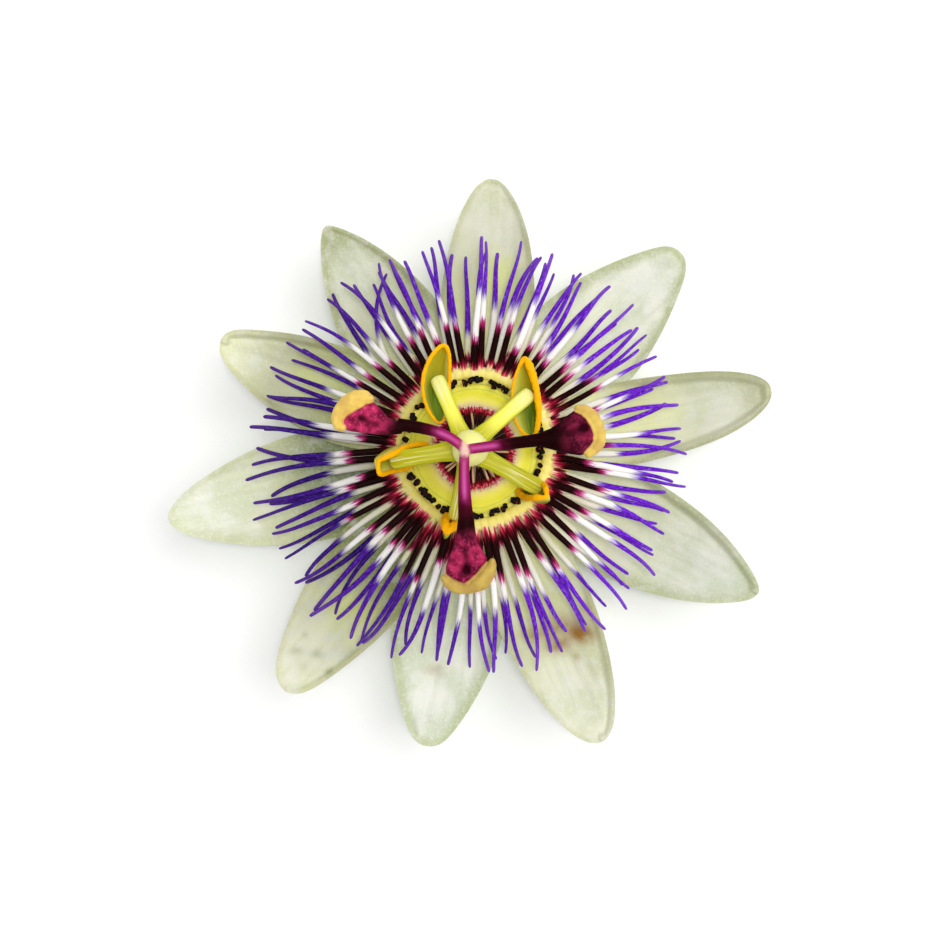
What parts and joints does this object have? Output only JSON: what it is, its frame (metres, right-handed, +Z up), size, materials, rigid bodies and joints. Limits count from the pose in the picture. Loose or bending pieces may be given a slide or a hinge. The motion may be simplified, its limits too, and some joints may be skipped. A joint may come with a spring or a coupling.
{
  "type": "passion flower",
  "caption": "Open passion flower, picked: pale petals and sepals, a banded violet filament corona, a yellow disc, hanging anthers and spread maroon styles.",
  "frame": {"origin": "on the surface, under the middle of the flower's bounding box", "axes": "+Z up out of the open flower, +X along its widest span, to the right of the picture"},
  "size_m": [0.0842, 0.0795, 0.0307],
  "materials": {
    "stem": "satin plant stem",
    "cup": "satin green, faintly ribbed",
    "bract": "matt leaf with fine veins",
    "sepal": "greenish white, fine sparkling cells, greener edge",
    "petal": "ivory white, fine sparkling cells, faint veins",
    "corona": "banded maroon, white and violet, frosted",
    "corona_heads": "near-black heads on yellow-green stalks",
    "disc": "moist yellow with green rings",
    "fringe": "dark red strands with pale tips",
    "column": "waxy yellow-green with pale streaks",
    "anther": "powdery orange rim, olive-green inside",
    "ovary": "smooth pale yellow-green",
    "style": "satin magenta to maroon, velvety stigma with a tan edge"
  },
  "bodies": {
    "root": {"pedicel": "stem", "floral_cup": "cup", "bract_1": "bract", "bract_2": "bract", "bract_3": "bract", "sepal_1": "sepal", "sepal_2": "sepal", "sepal_3": "sepal", "sepal_4": "sepal", "sepal_5": "sepal", "petal_1": "petal", "petal_2": "petal", "petal_3": "petal", "petal_4": "petal", "petal_5": "petal", "corona_lower_row": "corona", "corona_upper_row": "corona", "corona_inner_row": "corona_heads", "nectar_disc": "disc", "operculum_fringe": "fringe", "androgynophore": "column", "anther_1": "anther", "anther_2": "anther", "anther_3": "anther", "anther_4": "anther", "anther_5": "anther", "ovary": "ovary", "style_1": "style", "style_2": "style", "style_3": "style"}
  },
  "joints": []
}
